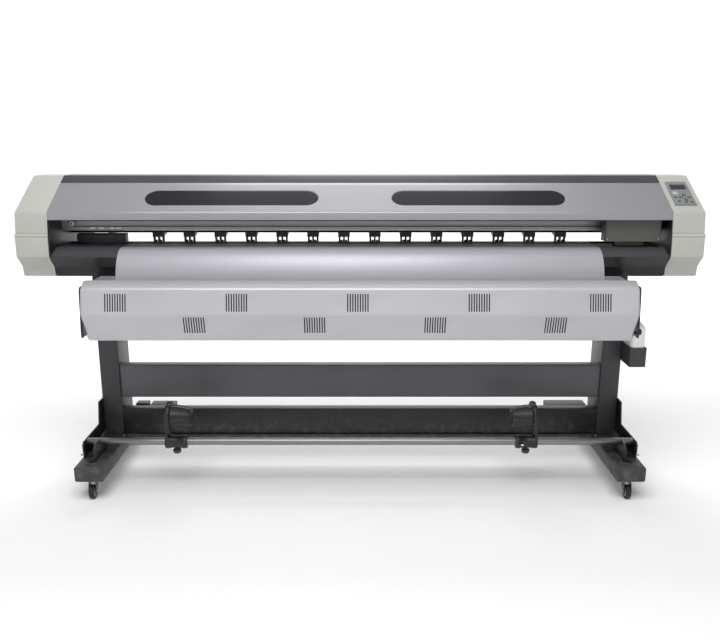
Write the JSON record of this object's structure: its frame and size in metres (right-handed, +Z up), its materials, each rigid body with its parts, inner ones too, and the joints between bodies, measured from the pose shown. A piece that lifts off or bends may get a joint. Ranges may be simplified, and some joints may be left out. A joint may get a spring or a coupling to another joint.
{
  "type": "wide-format roll printer",
  "caption": "Wide-format roll-fed inkjet printer for sign making: long head with a hinged lid, curved media apron and fan dryer, on a two-legged stand with casters and a take-up rail.",
  "frame": {"origin": "on the floor, under the middle of the bounding box", "axes": "+X to the right along the print direction, -Y to the front where the operator stands, +Z up"},
  "size_m": [2.7, 0.79, 1.3],
  "materials": {
    "ivory": "fine moulded texture, satin",
    "silver": "fine metallic paint, satin",
    "charcoal": "fine-texture powder coat",
    "black": "satin black moulding",
    "steel": "turned and ground",
    "satin": "satin anodised",
    "smoke": "tinted acrylic, polished",
    "platen": "grey-green hard anodised",
    "milky": "translucent natural plastic",
    "rubber": "caster tread"
  },
  "bodies": {
    "machine": {"end_cover_left": "ivory", "end_cover_right": "ivory", "base_beam": "charcoal", "side_plate_left": "charcoal", "side_plate_right": "charcoal", "lower_cover_left": "charcoal", "lower_cover_right": "charcoal", "rear_cover": "charcoal", "rear_guide": "charcoal", "dryer_arm_left": "charcoal", "dryer_arm_right": "charcoal", "leg_left": "charcoal", "leg_right": "charcoal", "foot_left": "charcoal", "foot_right": "charcoal", "crossbar": "charcoal", "waste_tray": "charcoal", "lower_beam": "charcoal", "capping_station": "black", "drive_belt": "black", "carriage_motor": "black", "takeup_bracket_left": "charcoal", "takeup_bracket_right": "charcoal", "control_panel": "charcoal", "guide_rail": "steel", "hinge_rod": "steel", "media_rail": "steel", "beam": "satin", "apron": "satin", "display": "smoke", "platen": "platen"},
    "front_cover": {"front_cover": "silver", "window_left": "smoke", "window_right": "smoke"},
    "carriage": {"carriage_block": "black", "carriage_cover": "charcoal", "print_head": "black"},
    "drive_pulley": {"drive_pulley": "steel"},
    "idler_pulley": {"idler_pulley": "steel"},
    "feed_roller": {"feed_roller": "steel"},
    "pinch_bank": {"pinch_bank": "black"},
    "dryer_knob": {"dryer_knob": "black"},
    "dryer": {"dryer_shell": "silver"},
    "holder_left": {"roll_holder_left": "black"},
    "cone_left": {"roll_cone_left": "black"},
    "holder_right": {"roll_holder_right": "black"},
    "cone_right": {"roll_cone_right": "black"},
    "fork_front_left": {"caster_fork_front_left": "black"},
    "wheel_front_left": {"caster_wheel_front_left": "rubber"},
    "fork_front_right": {"caster_fork_front_right": "black"},
    "wheel_front_right": {"caster_wheel_front_right": "rubber"},
    "fork_rear_left": {"caster_fork_rear_left": "black"},
    "wheel_rear_left": {"caster_wheel_rear_left": "rubber"},
    "fork_rear_right": {"caster_fork_rear_right": "black"},
    "wheel_rear_right": {"caster_wheel_rear_right": "rubber"},
    "key_left": {"key_left": "black"},
    "key_right": {"key_right": "black"},
    "key_up": {"key_up": "black"},
    "key_down": {"key_down": "black"},
    "bottle": {"waste_bottle": "milky"}
  },
  "joints": [
    {"name": "lid_hinge", "type": "hinge", "parent": "machine", "child": "front_cover", "pos_m": [0, -0.03622, 1.2717], "axis": [-1, 0, 0], "range_deg": [0, 75]},
    {"name": "carriage_travel", "type": "slide", "parent": "machine", "child": "carriage", "axis": [1, 0, 0], "range_m": [-2.12, 0.012]},
    {"name": "drive_pulley_spin", "type": "hinge", "parent": "machine", "child": "drive_pulley", "pos_m": [-1.1707, -0.0813, 1.112], "axis": [0, 1, 0], "continuous": true},
    {"name": "idler_pulley_spin", "type": "hinge", "parent": "machine", "child": "idler_pulley", "pos_m": [1.1707, -0.0813, 1.112], "axis": [0, 1, 0], "continuous": true},
    {"name": "feed_spin", "type": "hinge", "parent": "machine", "child": "feed_roller", "pos_m": [0, 0, 1.0163], "axis": [1, 0, 0], "continuous": true},
    {"name": "pinch_lift", "type": "hinge", "parent": "machine", "child": "pinch_bank", "pos_m": [0, 0.022, 1.067], "axis": [-1, 0, 0], "range_deg": [0, 6]},
    {"name": "dryer_tilt", "type": "hinge", "parent": "machine", "child": "dryer", "pos_m": [0, -0.345, 0.895], "axis": [-1, 0, 0], "range_deg": [0, 8]},
    {"name": "knob_turn", "type": "hinge", "parent": "dryer", "child": "dryer_knob", "pos_m": [1.075, -0.345, 0.726], "axis": [1, 0, 0], "continuous": true},
    {"name": "holder_left_slide", "type": "slide", "parent": "machine", "child": "holder_left", "axis": [1, 0, 0], "range_m": [-0.22, 0.6]},
    {"name": "holder_right_slide", "type": "slide", "parent": "machine", "child": "holder_right", "axis": [1, 0, 0], "range_m": [-0.6, 0.29]},
    {"name": "cone_left_spin", "type": "hinge", "parent": "holder_left", "child": "cone_left", "pos_m": [-0.772, -0.19, 0.319], "axis": [1, 0, 0], "continuous": true},
    {"name": "cone_right_spin", "type": "hinge", "parent": "holder_right", "child": "cone_right", "pos_m": [0.699, -0.19, 0.319], "axis": [1, 0, 0], "continuous": true},
    {"name": "swivel_front_left", "type": "hinge", "parent": "machine", "child": "fork_front_left", "pos_m": [-1.1053, -0.27, 0.0857], "axis": [0, 0, 1], "continuous": true},
    {"name": "roll_front_left", "type": "hinge", "parent": "fork_front_left", "child": "wheel_front_left", "pos_m": [-1.1053, -0.29, 0.0285], "axis": [1, 0, 0], "continuous": true},
    {"name": "swivel_front_right", "type": "hinge", "parent": "machine", "child": "fork_front_right", "pos_m": [1.1053, -0.27, 0.0857], "axis": [0, 0, 1], "continuous": true},
    {"name": "roll_front_right", "type": "hinge", "parent": "fork_front_right", "child": "wheel_front_right", "pos_m": [1.1053, -0.29, 0.0285], "axis": [1, 0, 0], "continuous": true},
    {"name": "swivel_rear_left", "type": "hinge", "parent": "machine", "child": "fork_rear_left", "pos_m": [-1.1053, 0.34, 0.0857], "axis": [0, 0, 1], "continuous": true},
    {"name": "roll_rear_left", "type": "hinge", "parent": "fork_rear_left", "child": "wheel_rear_left", "pos_m": [-1.1053, 0.36, 0.0285], "axis": [1, 0, 0], "continuous": true},
    {"name": "swivel_rear_right", "type": "hinge", "parent": "machine", "child": "fork_rear_right", "pos_m": [1.1053, 0.34, 0.0857], "axis": [0, 0, 1], "continuous": true},
    {"name": "roll_rear_right", "type": "hinge", "parent": "fork_rear_right", "child": "wheel_rear_right", "pos_m": [1.1053, 0.36, 0.0285], "axis": [1, 0, 0], "continuous": true},
    {"name": "press_left", "type": "slide", "parent": "machine", "child": "key_left", "axis": [0, 0.5189, -0.8548], "range_m": [0, 0.001], "stiffness_N_per_m": 150},
    {"name": "press_right", "type": "slide", "parent": "machine", "child": "key_right", "axis": [0, 0.5189, -0.8548], "range_m": [0, 0.001], "stiffness_N_per_m": 150},
    {"name": "press_up", "type": "slide", "parent": "machine", "child": "key_up", "axis": [0, 0.5189, -0.8548], "range_m": [0, 0.001], "stiffness_N_per_m": 150},
    {"name": "press_down", "type": "slide", "parent": "machine", "child": "key_down", "axis": [0, 0.5189, -0.8548], "range_m": [0, 0.001], "stiffness_N_per_m": 150},
    {"name": "bottle_lift", "type": "slide", "parent": "machine", "child": "bottle", "axis": [0, 0, 1], "range_m": [0, 0.15]}
  ],
  "couplings": [
    {"joint": "drive_pulley_spin", "follows": "carriage_travel", "rad_per_m": 85.106},
    {"joint": "idler_pulley_spin", "follows": "carriage_travel", "rad_per_m": 85.106}
  ]
}
